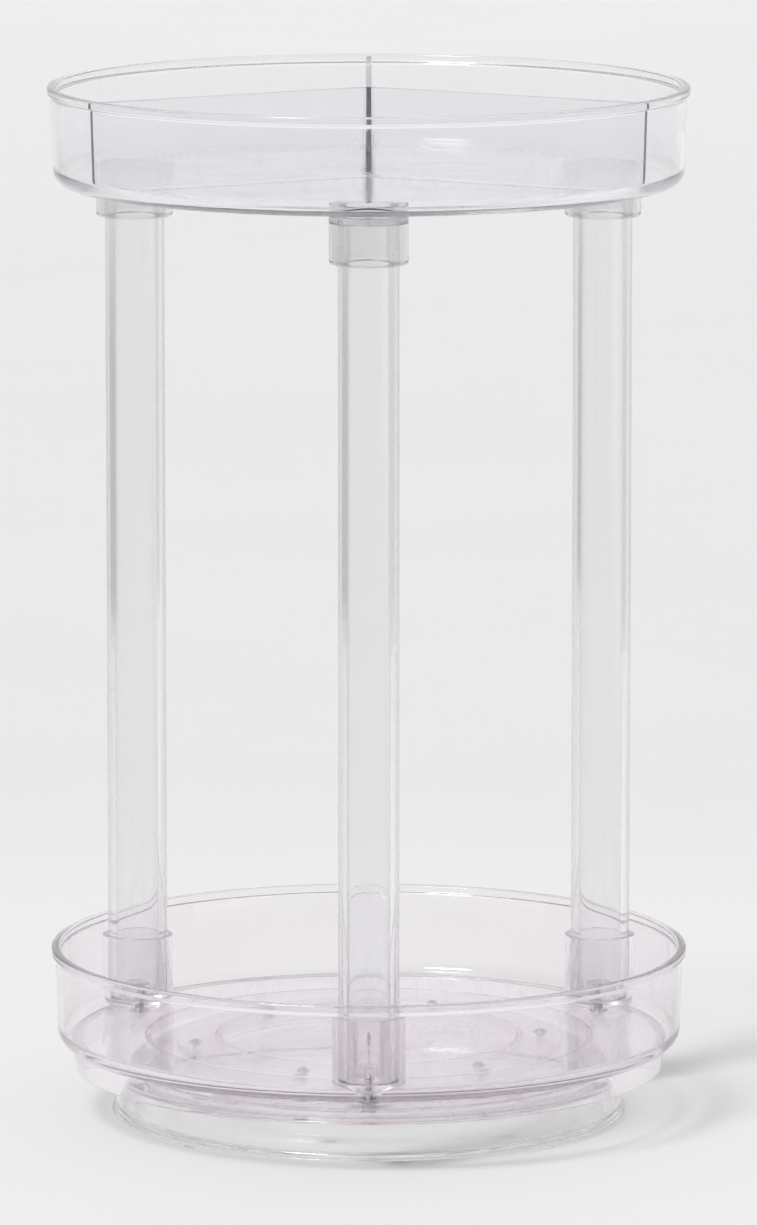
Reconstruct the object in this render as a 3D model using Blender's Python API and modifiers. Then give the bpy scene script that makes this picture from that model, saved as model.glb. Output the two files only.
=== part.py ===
"""A two-tier clear plastic lazy susan turntable.

Metres, +Z up. The origin is on the table top, under the spindle. Every turned piece is an
outline of (radius, height) points spun about a vertical axis. The six steel balls roll
between a raised track on the base and the underside of the lower tray.
The trays, sockets, posts and dividers turn together on the spindle of the base.
"""

import math

import bmesh
import bpy

# Both trays share one cup shape
RIM_RADIUS = 0.1175
CUP_HEIGHT = 0.0360
FLOOR = 0.0027
WALL = 0.0019
WALL_TOP_RADIUS = 0.1162
WALL_FOOT_RADIUS = 0.1152
LIP_HEIGHT = 0.0030
LIP_ROUND = 0.0006
OUTER_CORNER = 0.0030
INNER_CORNER = 0.0022

# Heights of the two tiers
LOWER_TRAY_Z = 0.0270
UPPER_TRAY_Z = 0.3460

# Skirt and ribs under the lower tray
SKIRT_TOP_RADIUS = 0.1102
SKIRT_FOOT_RADIUS = 0.1085
SKIRT_DEPTH = 0.0095
SKIRT_WALL = 0.0017
RIB_RADII = (0.0820, 0.0560)
RIB_DEPTH = 0.0038
RIB_WALL = 0.0013

# Base
BASE_FOOT_Z = 0.0012
BASE_FOOT_RADIUS = 0.0955
BASE_TOP_Z = 0.0175
BASE_TOP_RADIUS = 0.0885
BASE_WALL = 0.0022
TRACK_INNER_RADIUS = 0.0574
TRACK_OUTER_RADIUS = 0.0808
HUB_RADIUS = 0.0085
HUB_FOOT_Z = 0.0120
FLANGE_INNER_RADIUS = 0.0858
FLANGE_THICKNESS = 0.0016
PAD_COUNT = 4
PAD_CIRCLE = 0.0903
PAD_RADIUS = 0.0036

# Ball race
BALL_COUNT = 6
BALL_RADIUS = 0.00238
BALL_CIRCLE = 0.0645
BALL_FIRST_ANGLE = math.radians(8.3)
CAGE_INNER_RADIUS = 0.0576
CAGE_OUTER_RADIUS = 0.0714
CAGE_THICKNESS = 0.0020

# Spindle
SPINDLE_RADIUS = 0.0028
SPINDLE_HEAD_RADIUS = 0.0062
SPINDLE_HEAD_HEIGHT = 0.0022
SPINDLE_FOOT_Z = 0.0080
WASHER_RADIUS = 0.0075
WASHER_THICKNESS = 0.0007
NUT_RADIUS = 0.0056
NUT_THICKNESS = 0.0029

# Posts and the sockets that hold them
POST_ANGLES = tuple(math.radians(a) for a in (-90, 30, 150))
POST_CIRCLE = 0.1004
POST_RADIUS = 0.0110
POST_BORE_RADIUS = 0.0080
POST_CHAMFER = 0.0006
SOCKET_END = 0.0025
SOCKET_GAP_RADIUS = 0.0113
LOWER_SOCKET_RADIUS = 0.01325
LOWER_SOCKET_HEIGHT = 0.0268
LOWER_SOCKET_CORNER = 0.0025
LOWER_SOCKET_REACH = 0.1126
UPPER_SOCKET_RADIUS = 0.01425
UPPER_SOCKET_HEIGHT = 0.0175
UPPER_SOCKET_CORNER = 0.0012
SOCKET_RIM_ROUND = 0.0004

# Screws that hold the lower sockets
SCREW_RADIUS = 0.0018
SCREW_HEAD_RADIUS = 0.0040
SCREW_HEAD_HEIGHT = 0.0024
SCREW_LENGTH = 0.0090
SCREW_BOSS_RADIUS = 0.0050
SCREW_BOSS_HEIGHT = 0.0060

# Dividers of the upper tray
DIVIDER_ANGLES = tuple(math.radians(a) for a in (90, 210, 330))
DIVIDER_THICKNESS = 0.0018
DIVIDER_DROP = 0.0008
DIVIDER_HUB_RADIUS = 0.0022
DIVIDER_HUB_TOP_RADIUS = 0.0015

GAP = 0.0003
RACE_GAP = 0.0002
FINE_STEPS = 60
RING_STEPS = 40
SMALL_STEPS = 24

UNDERSIDE_Z = LOWER_TRAY_Z
LOWER_FLOOR_Z = LOWER_TRAY_Z + FLOOR
UPPER_FLOOR_Z = UPPER_TRAY_Z + FLOOR
BALL_Z = UNDERSIDE_Z - RACE_GAP - BALL_RADIUS
TRACK_Z = BALL_Z - BALL_RADIUS - RACE_GAP
HUB_TOP_Z = UNDERSIDE_Z - 0.0028


def clear_scene():
    for item in list(bpy.data.objects):
        bpy.data.objects.remove(item)


def new_collection(name):
    collection = bpy.data.collections.new(name)
    bpy.context.scene.collection.children.link(collection)
    return collection


def new_material(name, colour, roughness, metallic=0.0, transmission=0.0):
    material = bpy.data.materials.new(name)
    material.use_nodes = True
    shader = material.node_tree.nodes["Principled BSDF"]
    shader.inputs["Base Color"].default_value = (*colour, 1.0)
    shader.inputs["Roughness"].default_value = roughness
    shader.inputs["Metallic"].default_value = metallic
    shader.inputs["Transmission Weight"].default_value = transmission
    return material


def arc(centre_radius, centre_z, radius, first, last, steps):
    """Points on an arc of the outline, with the angles in degrees from the outward direction."""
    points = []
    for step in range(steps + 1):
        angle = math.radians(first + (last - first) * step / steps)
        point = (centre_radius + radius * math.cos(angle), centre_z + radius * math.sin(angle))
        points.append(point)
    return points


def add_object(name, mesh, material, collection):
    item = bpy.data.objects.new(name, mesh)
    collection.objects.link(item)
    if material is not None:
        item.data.materials.append(material)
    return item


def turned(name, outline, closed, steps, material, collection, place=(0.0, 0.0)):
    """Spins an outline, which runs down its outer side, about the vertical axis at place."""
    count = len(outline)
    edges = [(i, i + 1) for i in range(count - 1)]
    if closed:
        edges.append((count - 1, 0))
    mesh = bpy.data.meshes.new(name)
    mesh.from_pydata([(radius, 0.0, z) for radius, z in outline], edges, [])
    item = add_object(name, mesh, material, collection)
    item.location = (place[0], place[1], 0.0)
    spin = item.modifiers.new("Spin", "SCREW")
    spin.axis = "Z"
    spin.angle = 2 * math.pi
    spin.steps = steps
    spin.render_steps = steps
    spin.use_merge_vertices = True
    spin.merge_threshold = 0.00001
    return item


def cylinder(name, radius, low, high, steps, material, collection, place=(0.0, 0.0)):
    """A closed upright cylinder, or a prism if steps is small."""
    shape = bmesh.new()
    bmesh.ops.create_cone(
        shape,
        cap_ends=True,
        segments=steps,
        radius1=radius,
        radius2=radius,
        depth=high - low,
    )
    mesh = bpy.data.meshes.new(name)
    shape.to_mesh(mesh)
    shape.free()
    item = add_object(name, mesh, material, collection)
    item.location = (place[0], place[1], (low + high) / 2)
    return item


def make_helper(item):
    item.hide_render = True
    item.display_type = "WIRE"


def combine(item, other, operation):
    make_helper(other)
    modifier = item.modifiers.new(operation.title(), "BOOLEAN")
    modifier.operation = operation
    modifier.object = other


def polar(radius, angle):
    return (radius * math.cos(angle), radius * math.sin(angle))


def cup_outside(floor_z):
    """Rim, lip and outer wall of a tray, down to the flat of its underside."""
    top = floor_z + CUP_HEIGHT
    corner_z = floor_z + OUTER_CORNER
    lip = [
        (RIM_RADIUS - LIP_ROUND, top),
        (RIM_RADIUS, top - LIP_ROUND),
        (RIM_RADIUS, top - LIP_HEIGHT + LIP_ROUND),
        (WALL_TOP_RADIUS, top - LIP_HEIGHT),
    ]
    corner = arc(WALL_FOOT_RADIUS - OUTER_CORNER, corner_z, OUTER_CORNER, 0, -90, 3)
    return lip + corner


def cup_inside(floor_z):
    """The inside of a tray, from the outer edge of its floor up to the rim."""
    foot_radius = WALL_FOOT_RADIUS - WALL
    corner_z = floor_z + FLOOR + INNER_CORNER
    corner = arc(foot_radius - INNER_CORNER, corner_z, INNER_CORNER, -90, 0, 3)
    return corner + [(WALL_TOP_RADIUS - WALL, floor_z + CUP_HEIGHT)]


def rib(radius, under_z):
    """A short ring wall under a floor, crossed from outside to inside."""
    half = RIB_WALL / 2
    return [
        (radius + half, under_z),
        (radius + half, under_z - RIB_DEPTH),
        (radius - half, under_z - RIB_DEPTH),
        (radius - half, under_z),
    ]


def build_lower_tray(material, parts, cutters):
    skirt_foot = LOWER_TRAY_Z - SKIRT_DEPTH
    skirt = [
        (SKIRT_TOP_RADIUS, LOWER_TRAY_Z),
        (SKIRT_FOOT_RADIUS, skirt_foot),
        (SKIRT_FOOT_RADIUS - SKIRT_WALL, skirt_foot),
        (SKIRT_TOP_RADIUS - SKIRT_WALL - RIB_WALL, LOWER_TRAY_Z),
    ]
    hub_hole = SPINDLE_RADIUS + GAP
    hub = [
        (HUB_RADIUS, LOWER_TRAY_Z),
        (HUB_RADIUS, HUB_TOP_Z + GAP),
        (hub_hole, HUB_TOP_Z + GAP),
        (hub_hole, LOWER_FLOOR_Z),
    ]
    ribs = [point for radius in RIB_RADII for point in rib(radius, LOWER_TRAY_Z)]
    outline = cup_outside(LOWER_TRAY_Z) + skirt + ribs + hub + cup_inside(LOWER_TRAY_Z)
    tray = turned("lower_tray", outline, True, FINE_STEPS, material, parts)
    for number, angle in enumerate(POST_ANGLES, 1):
        hole = cylinder(
            f"screw_hole_cutter_{number}",
            SCREW_RADIUS + GAP,
            LOWER_TRAY_Z - SKIRT_DEPTH,
            LOWER_FLOOR_Z + SKIRT_DEPTH,
            12,
            None,
            cutters,
            polar(POST_CIRCLE, angle),
        )
        combine(tray, hole, "DIFFERENCE")


def build_upper_tray(material, parts):
    floor_centre = [(0.0, UPPER_FLOOR_Z)]
    under_centre = [(0.0, UPPER_TRAY_Z)]
    outline = floor_centre + cup_inside(UPPER_TRAY_Z) + cup_outside(UPPER_TRAY_Z) + under_centre
    turned("upper_tray", outline, False, FINE_STEPS, material, parts)


def divider_plate(name, angle, collection):
    """One upright wall of the insert, drawn flat and stood on edge along its angle."""
    low = UPPER_FLOOR_Z + GAP
    high = UPPER_TRAY_Z + CUP_HEIGHT - DIVIDER_DROP
    foot_radius = WALL_FOOT_RADIUS - WALL - GAP
    top_radius = WALL_TOP_RADIUS - WALL - GAP
    corner = arc(foot_radius - INNER_CORNER, low + INNER_CORNER, INNER_CORNER, -90, 0, 3)
    outline = [(0.0, low)] + corner + [(top_radius, high), (0.0, high)]
    curve = bpy.data.curves.new(name, "CURVE")
    curve.dimensions = "2D"
    curve.fill_mode = "BOTH"
    curve.extrude = DIVIDER_THICKNESS / 2
    line = curve.splines.new("POLY")
    line.points.add(len(outline) - 1)
    for point, (radius, z) in zip(line.points, outline):
        point.co = (radius, z, 0.0, 1.0)
    line.use_cyclic_u = True
    flat = bpy.data.objects.new(name, curve)
    collection.objects.link(flat)
    flat.rotation_euler = (math.pi / 2, 0.0, angle)
    bpy.context.view_layer.update()
    graph = bpy.context.evaluated_depsgraph_get()
    mesh = bpy.data.meshes.new_from_object(flat.evaluated_get(graph))
    shape = bmesh.new()
    shape.from_mesh(mesh)
    bmesh.ops.remove_doubles(shape, verts=shape.verts, dist=0.00001)
    shape.to_mesh(mesh)
    shape.free()
    plate = bpy.data.objects.new(name, mesh)
    collection.objects.link(plate)
    plate.matrix_world = flat.matrix_world
    bpy.data.objects.remove(flat)
    return plate


def build_divider_insert(material, parts, cutters):
    low = UPPER_FLOOR_Z + GAP
    high = UPPER_TRAY_Z + CUP_HEIGHT - DIVIDER_DROP
    post = [(0.0, high), (DIVIDER_HUB_TOP_RADIUS, high), (DIVIDER_HUB_RADIUS, low), (0.0, low)]
    insert = turned("divider_insert", post, False, 12, material, parts)
    for number, angle in enumerate(DIVIDER_ANGLES, 1):
        plate = divider_plate(f"divider_plate_{number}", angle, cutters)
        combine(insert, plate, "UNION")


def pad_angle(number):
    return 2 * math.pi * (number + 0.5) / PAD_COUNT


def build_base(material, parts):
    edge = 0.0015
    flange_top = BASE_FOOT_Z + FLANGE_THICKNESS
    plate_under = BASE_TOP_Z - BASE_WALL
    track_under = TRACK_Z - BASE_WALL
    hub_hole = SPINDLE_RADIUS + GAP
    outline = [
        (hub_hole, HUB_TOP_Z),
        (HUB_RADIUS, HUB_TOP_Z),
        (HUB_RADIUS, BASE_TOP_Z),
        (TRACK_INNER_RADIUS, BASE_TOP_Z),
        (TRACK_INNER_RADIUS, TRACK_Z),
        (TRACK_OUTER_RADIUS, TRACK_Z),
        (TRACK_OUTER_RADIUS, BASE_TOP_Z),
    ]
    outline += arc(BASE_TOP_RADIUS - edge, BASE_TOP_Z - edge, edge, 90, 0, 3)
    outline += [
        (BASE_FOOT_RADIUS, BASE_FOOT_Z),
        (FLANGE_INNER_RADIUS, BASE_FOOT_Z),
        (FLANGE_INNER_RADIUS, flange_top),
        (BASE_FOOT_RADIUS - 1.3 * BASE_WALL, flange_top),
        (BASE_TOP_RADIUS - BASE_WALL, plate_under),
        (TRACK_OUTER_RADIUS - BASE_WALL, plate_under),
        (TRACK_OUTER_RADIUS - BASE_WALL, track_under),
        (TRACK_INNER_RADIUS + BASE_WALL, track_under),
        (TRACK_INNER_RADIUS + BASE_WALL, plate_under),
        (HUB_RADIUS - GAP, plate_under),
        (HUB_RADIUS - GAP, HUB_FOOT_Z),
        (hub_hole, HUB_FOOT_Z),
    ]
    turned("base", outline, True, FINE_STEPS, material, parts)


def build_pads(material, parts):
    for number in range(PAD_COUNT):
        place = polar(PAD_CIRCLE, pad_angle(number))
        top = BASE_FOOT_Z - GAP
        cylinder(f"foot_pad_{number + 1}", PAD_RADIUS, 0.0, top, 16, material, parts, place)


def ball_angle(number):
    return BALL_FIRST_ANGLE + 2 * math.pi * number / BALL_COUNT


def build_ball_cage(material, parts, cutters):
    low = BALL_Z - CAGE_THICKNESS / 2
    high = BALL_Z + CAGE_THICKNESS / 2
    outline = [
        (CAGE_OUTER_RADIUS, high),
        (CAGE_OUTER_RADIUS, low),
        (CAGE_INNER_RADIUS, low),
        (CAGE_INNER_RADIUS, high),
    ]
    cage = turned("ball_cage", outline, True, RING_STEPS, material, parts)
    for number in range(BALL_COUNT):
        pocket = cylinder(
            f"pocket_cutter_{number + 1}",
            BALL_RADIUS + GAP,
            low - CAGE_THICKNESS,
            high + CAGE_THICKNESS,
            16,
            None,
            cutters,
            polar(BALL_CIRCLE, ball_angle(number)),
        )
        combine(cage, pocket, "DIFFERENCE")


def build_balls(material, parts):
    shape = bmesh.new()
    bmesh.ops.create_uvsphere(shape, u_segments=12, v_segments=8, radius=BALL_RADIUS)
    mesh = bpy.data.meshes.new("ball")
    shape.to_mesh(mesh)
    shape.free()
    mesh.materials.append(material)
    for number in range(BALL_COUNT):
        ball = add_object(f"ball_{number + 1}", mesh, None, parts)
        ball.location = (*polar(BALL_CIRCLE, ball_angle(number)), BALL_Z)


def build_spindle(steel, nylon, parts, cutters):
    washer_low = LOWER_FLOOR_Z + RACE_GAP
    head_low = washer_low + WASHER_THICKNESS + RACE_GAP
    head_top = head_low + SPINDLE_HEAD_HEIGHT
    pin = [(0.0, head_top), (0.6 * SPINDLE_HEAD_RADIUS, head_low + 0.8 * SPINDLE_HEAD_HEIGHT)]
    pin += [
        (SPINDLE_HEAD_RADIUS, head_low + 0.35 * SPINDLE_HEAD_HEIGHT),
        (SPINDLE_HEAD_RADIUS, head_low),
        (SPINDLE_RADIUS, head_low),
        (SPINDLE_RADIUS, SPINDLE_FOOT_Z),
        (0.0, SPINDLE_FOOT_Z),
    ]
    turned("spindle_pin", pin, False, 24, steel, parts)
    hole = SPINDLE_RADIUS + GAP
    washer_top = washer_low + WASHER_THICKNESS
    washer = [
        (WASHER_RADIUS, washer_top),
        (WASHER_RADIUS, washer_low),
        (hole, washer_low),
        (hole, washer_top),
    ]
    turned("spindle_washer", washer, True, 24, nylon, parts)
    nut_top = HUB_FOOT_Z - GAP
    nut_low = nut_top - NUT_THICKNESS
    nut = cylinder("spindle_nut", NUT_RADIUS, nut_low, nut_top, 6, steel, parts)
    bore = cylinder(
        "nut_bore_cutter", hole, nut_low - NUT_THICKNESS, nut_top + NUT_THICKNESS, 16, None, cutters
    )
    combine(nut, bore, "DIFFERENCE")


def build_posts(material, parts):
    low = LOWER_FLOOR_Z + GAP + SOCKET_END + GAP
    high = UPPER_TRAY_Z - GAP - SOCKET_END - GAP
    outline = [
        (POST_BORE_RADIUS, high),
        (POST_RADIUS - POST_CHAMFER, high),
        (POST_RADIUS, high - POST_CHAMFER),
        (POST_RADIUS, low + POST_CHAMFER),
        (POST_RADIUS - POST_CHAMFER, low),
        (POST_BORE_RADIUS, low),
    ]
    for number, angle in enumerate(POST_ANGLES, 1):
        place = polar(POST_CIRCLE, angle)
        turned(f"post_{number}", outline, True, SMALL_STEPS, material, parts, place)


def lower_socket_outline():
    """A cup with a screw boss standing on the inside of its floor."""
    low = LOWER_FLOOR_Z + GAP
    high = low + LOWER_SOCKET_HEIGHT
    end = low + SOCKET_END
    boss_top = end + SCREW_BOSS_HEIGHT
    hole = SCREW_RADIUS + GAP
    corner_radius = LOWER_SOCKET_RADIUS - LOWER_SOCKET_CORNER
    outline = [
        (SOCKET_GAP_RADIUS, high),
        (LOWER_SOCKET_RADIUS - SOCKET_RIM_ROUND, high),
        (LOWER_SOCKET_RADIUS, high - SOCKET_RIM_ROUND),
    ]
    outline += arc(corner_radius, low + LOWER_SOCKET_CORNER, LOWER_SOCKET_CORNER, 0, -90, 3)
    outline += [
        (hole, low),
        (hole, boss_top),
        (SCREW_BOSS_RADIUS, boss_top),
        (SCREW_BOSS_RADIUS, end),
        (SOCKET_GAP_RADIUS, end),
    ]
    return outline


def build_lower_sockets(material, parts, cutters):
    """The sockets stand against the tray wall, so each is cut back to the wall's curve."""
    reach = LOWER_SOCKET_REACH
    far = reach + 0.02
    below = LOWER_TRAY_Z
    above = LOWER_TRAY_Z + 2 * CUP_HEIGHT
    ring = [(far, above), (far, below), (reach, below), (reach, above)]
    wall_cutter = turned("wall_cutter", ring, True, 96, None, cutters)
    for number, angle in enumerate(POST_ANGLES, 1):
        name = f"lower_socket_{number}"
        place = polar(POST_CIRCLE, angle)
        outline = lower_socket_outline()
        socket = turned(name, outline, True, SMALL_STEPS, material, parts, place)
        combine(socket, wall_cutter, "DIFFERENCE")


def build_upper_sockets(material, parts):
    high = UPPER_TRAY_Z - GAP
    low = high - UPPER_SOCKET_HEIGHT
    end = high - SOCKET_END
    corner_radius = UPPER_SOCKET_RADIUS - UPPER_SOCKET_CORNER
    outline = [(0.0, high), (UPPER_SOCKET_RADIUS, high)]
    outline += arc(corner_radius, low + UPPER_SOCKET_CORNER, UPPER_SOCKET_CORNER, 0, -90, 2)
    outline += [(SOCKET_GAP_RADIUS, low), (SOCKET_GAP_RADIUS, end), (0.0, end)]
    for number, angle in enumerate(POST_ANGLES, 1):
        name = f"upper_socket_{number}"
        place = polar(POST_CIRCLE, angle)
        turned(name, outline, False, SMALL_STEPS, material, parts, place)


def build_socket_screws(material, parts):
    head_top = LOWER_TRAY_Z - GAP
    head_low = head_top - SCREW_HEAD_HEIGHT
    tip = head_top + SCREW_LENGTH
    outline = [
        (0.0, tip),
        (SCREW_RADIUS, tip - SCREW_RADIUS),
        (SCREW_RADIUS, head_top),
        (SCREW_HEAD_RADIUS, head_top),
        (SCREW_HEAD_RADIUS, head_low + 0.4 * SCREW_HEAD_HEIGHT),
        (0.7 * SCREW_HEAD_RADIUS, head_low),
        (0.0, head_low),
    ]
    for number, angle in enumerate(POST_ANGLES, 1):
        name = f"socket_screw_{number}"
        turned(name, outline, False, 16, material, parts, polar(POST_CIRCLE, angle))


def shade(parts):
    for item in parts.objects:
        item.data.shade_smooth()
        item.data.set_sharp_from_angle(angle=math.radians(30))
        for modifier in item.modifiers:
            if modifier.type == "SCREW":
                modifier.use_smooth_shade = True


def main():
    clear_scene()
    parts = new_collection("lazy_susan_turntable")
    cutters = new_collection("cutters")
    clear = new_material("clear_plastic", (0.93, 0.92, 0.96), 0.04, 0.0, 1.0)
    steel = new_material("bright_steel", (0.62, 0.62, 0.64), 0.22, 1.0)
    nylon = new_material("natural_nylon", (0.86, 0.85, 0.80), 0.45)
    silicone = new_material("frosted_silicone", (0.82, 0.83, 0.85), 0.60)
    build_base(clear, parts)
    build_pads(silicone, parts)
    build_ball_cage(clear, parts, cutters)
    build_balls(steel, parts)
    build_spindle(steel, nylon, parts, cutters)
    build_lower_tray(clear, parts, cutters)
    build_lower_sockets(clear, parts, cutters)
    build_socket_screws(steel, parts)
    build_posts(clear, parts)
    build_upper_sockets(clear, parts)
    build_upper_tray(clear, parts)
    build_divider_insert(clear, parts, cutters)
    shade(parts)


main()
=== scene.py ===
from math import cos, pi, radians, sin, tan

import bmesh
import bpy
import numpy as np
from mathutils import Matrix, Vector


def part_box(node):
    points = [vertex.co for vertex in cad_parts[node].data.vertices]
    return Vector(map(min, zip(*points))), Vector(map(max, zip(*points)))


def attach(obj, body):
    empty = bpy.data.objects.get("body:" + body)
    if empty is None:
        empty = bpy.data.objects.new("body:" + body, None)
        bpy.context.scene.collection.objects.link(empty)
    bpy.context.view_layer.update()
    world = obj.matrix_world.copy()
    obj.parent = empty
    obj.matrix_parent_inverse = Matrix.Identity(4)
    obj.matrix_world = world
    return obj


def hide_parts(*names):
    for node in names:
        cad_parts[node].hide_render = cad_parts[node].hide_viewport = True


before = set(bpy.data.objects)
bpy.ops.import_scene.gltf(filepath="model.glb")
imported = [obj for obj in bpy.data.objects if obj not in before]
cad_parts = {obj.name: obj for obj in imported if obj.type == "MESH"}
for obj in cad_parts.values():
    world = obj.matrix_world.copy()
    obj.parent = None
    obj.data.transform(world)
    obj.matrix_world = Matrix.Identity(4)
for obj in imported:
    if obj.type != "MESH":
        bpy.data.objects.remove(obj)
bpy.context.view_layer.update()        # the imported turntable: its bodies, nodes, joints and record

print("frame loaded:", len(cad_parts), "nodes")

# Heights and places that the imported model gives
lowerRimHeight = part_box("lower_tray")[1].z
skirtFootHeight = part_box("lower_tray")[0].z
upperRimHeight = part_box("upper_tray")[1].z
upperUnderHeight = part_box("upper_tray")[0].z
trayDepth = upperRimHeight - upperUnderHeight
lowerUnderHeight = lowerRimHeight - trayDepth


# The low and high corner of a node's box, as arrays.
def boxCorners(node):
    return [np.array(corner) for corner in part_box(node)]


# The lowest and the highest z of a node's box.
def heights(node):
    return (corner.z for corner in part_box(node))


postCentres = [tuple(sum(boxCorners(f"post_{number}"))[:2] / 2) for number in (1, 2, 3)]


# ---- meshes from arrays


# Four-sided faces between one closed ring of points and the next.
def ringFaces(above, below):
    corners = [above, below, np.roll(below, -1, 1), np.roll(above, -1, 1)]
    return np.stack(corners, -1).reshape(-1, 4)


# The first row of points is the topmost, and every row is a closed ring that runs
# anticlockwise seen from above. Neighbouring rings are joined by four-sided faces, an open
# shape is closed by a fan of triangles at each pole, and faces look outwards.
def skinRings(name, rings, normals=None, closed=False, poles=None, poleNormals=None):
    rowCount, ringCount = rings.shape[:2]
    index = np.arange(rowCount * ringCount).reshape(rowCount, ringCount)
    above = index if closed else index[:-1]
    below = np.roll(index, -1, 0) if closed else index[1:]
    faces = ringFaces(above, below).tolist()
    points = rings.reshape(-1, 3)
    if poles is not None:
        top, foot = rowCount * ringCount, rowCount * ringCount + 1
        first, last = index[0], index[-1]
        fanTop = np.stack([np.full(ringCount, top), first, np.roll(first, -1)], -1)
        fanFoot = np.stack([np.full(ringCount, foot), np.roll(last, -1), last], -1)
        faces += fanTop.tolist() + fanFoot.tolist()
        points = np.vstack([points, poles])
    mesh = bpy.data.meshes.new(name)
    mesh.from_pydata(points.tolist(), [], faces)
    mesh.shade_smooth()
    if normals is not None:
        flat = normals.reshape(-1, 3)
        if poles is not None:
            flat = np.vstack([flat, poleNormals])
        mesh.normals_split_custom_set_from_vertices(flat.tolist())
    return addPiece(name, mesh)


def addPiece(name, mesh):
    piece = bpy.data.objects.new(name, mesh)
    bpy.context.scene.collection.objects.link(piece)
    return piece


# Corner points with a radius each become a smooth outline. A corner is cut back along both
# its sides by the radius times the tangent of half the turn, and joined by an arc on which
# the direction turns evenly. The normal is the direction turned a quarter to the left, which
# is outwards for an outline that runs down its outer side.
def roundedOutline(corners, closed, steps=5):
    place = np.array([corner[:2] for corner in corners], float)
    radius = np.array([corner[2] for corner in corners], float)
    side = place - np.roll(place, 1, 0)
    length = np.hypot(*side.T)
    heading = np.arctan2(side[:, 1], side[:, 0])
    if not closed:
        heading[0] = heading[1]
    nextHeading = np.roll(heading, -1)
    if not closed:
        nextHeading[-1] = heading[-1]
    turn = (nextHeading - heading + pi) % (2 * pi) - pi
    cut = radius * np.tan(np.abs(turn) / 2)
    along = np.stack([np.cos(heading), np.sin(heading)], -1)
    start = place - along * cut[:, None]
    share = np.linspace(0, 1, steps + 1)
    angle = heading[:, None] + turn[:, None] * share
    bend = (radius * np.sign(turn))[:, None]
    across = start[:, :1] + bend * (np.sin(angle) - np.sin(heading)[:, None])
    upward = start[:, 1:] - bend * (np.cos(angle) - np.cos(heading)[:, None])
    outline = np.stack([across, upward], -1)
    normal = np.stack([-np.sin(angle), np.cos(angle)], -1)
    if closed:
        return outline.reshape(-1, 2), normal.reshape(-1, 2)
    middle = slice(1, len(corners) - 1)
    outline = np.vstack([outline[0, :1], outline[middle].reshape(-1, 2), outline[-1, -1:]])
    normal = np.vstack([normal[0, :1], normal[middle].reshape(-1, 2), normal[-1, -1:]])
    return outline, normal


# A turned body: x and y are the outline's radius times the cosine and sine of the angle
# round, and z is the outline's height. An open outline starts and ends on the axis.
def turnedBody(name, corners, closed, ringSteps, centre=(0.0, 0.0), steps=5):
    outline, normal = roundedOutline(corners, closed, steps)
    angle = np.linspace(0, 2 * pi, ringSteps, endpoint=False)
    spokes = np.stack([np.cos(angle), np.sin(angle)], -1)
    rings = spinRows(outline, spokes) + np.array([*centre, 0.0])
    normals = spinRows(normal, spokes)
    if closed:
        return skinRings(name, rings, normals, closed=True)
    poles = np.array([[*centre, outline[0, 1]], [*centre, outline[-1, 1]]])
    poleNormals = [(0, 0, 1), (0, 0, -1)]
    return skinRings(name, rings[1:-1], normals[1:-1], poles=poles, poleNormals=poleNormals)


def spinRows(rows, spokes):
    flat = rows[:, None, :1] * spokes[None]
    tall = np.broadcast_to(rows[:, None, 1:], (len(rows), len(spokes), 1))
    return np.concatenate([flat, tall], -1)


def finishPiece(piece, material, body, slotName, *nodes):
    piece.data.materials.append(material)
    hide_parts(*nodes)
    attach(piece, body)


# ---- shader groups that several finishes share


# Every group takes a vector and some numbers, and gives numbers.
def newGroup(name, ins, outs):
    group = bpy.data.node_groups.new(name, "ShaderNodeTree")
    sockets = group.interface
    sockets.new_socket("Vector", in_out="INPUT", socket_type="NodeSocketVector")
    for label, value in ins.items():
        socket = sockets.new_socket(label, in_out="INPUT", socket_type="NodeSocketFloat")
        socket.default_value = value
    for label in outs:
        sockets.new_socket(label, in_out="OUTPUT", socket_type="NodeSocketFloat")
    return group, group.nodes.new("NodeGroupInput"), group.nodes.new("NodeGroupOutput")


def addNode(tree, kind, values=None, **settings):
    node = tree.nodes.new(kind)
    for key, value in settings.items():
        setattr(node, key, value)
    for key, value in (values or {}).items():
        node.inputs[key].default_value = value
    return node


def mathNode(tree, operation, first, second=None, clamp=False):
    node = addNode(tree, "ShaderNodeMath", operation=operation, use_clamp=clamp)
    for number, value in enumerate((first, second)):
        if value is None:
            continue
        if isinstance(value, (int, float)):
            node.inputs[number].default_value = value
        else:
            tree.links.new(value, node.inputs[number])
    return node.outputs[0]


# A value carried from one span to another, in a smooth step unless the kind says otherwise.
def rangeNode(tree, value, span, result=(0.0, 1.0), kind="SMOOTHSTEP"):
    node = addNode(tree, "ShaderNodeMapRange", interpolation_type=kind)
    for label, number in zip(("From Min", "From Max", "To Min", "To Max"), (*span, *result)):
        node.inputs[label].default_value = number
    tree.links.new(value, node.inputs["Value"])
    return node.outputs[0]


# A mix of two colours, or of two numbers, each of them given or linked.
def mixNode(tree, factor, first, second, kind="RGBA"):
    node = addNode(tree, "ShaderNodeMix", data_type=kind)
    tree.links.new(factor, node.inputs["Factor"])
    for label, value in (("A", first), ("B", second)):
        if isinstance(value, tuple):
            node.inputs[label].default_value = (*value, 1.0)
        elif isinstance(value, float):
            node.inputs[label].default_value = value
        else:
            tree.links.new(value, node.inputs[label])
    return node.outputs["Result"]


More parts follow.
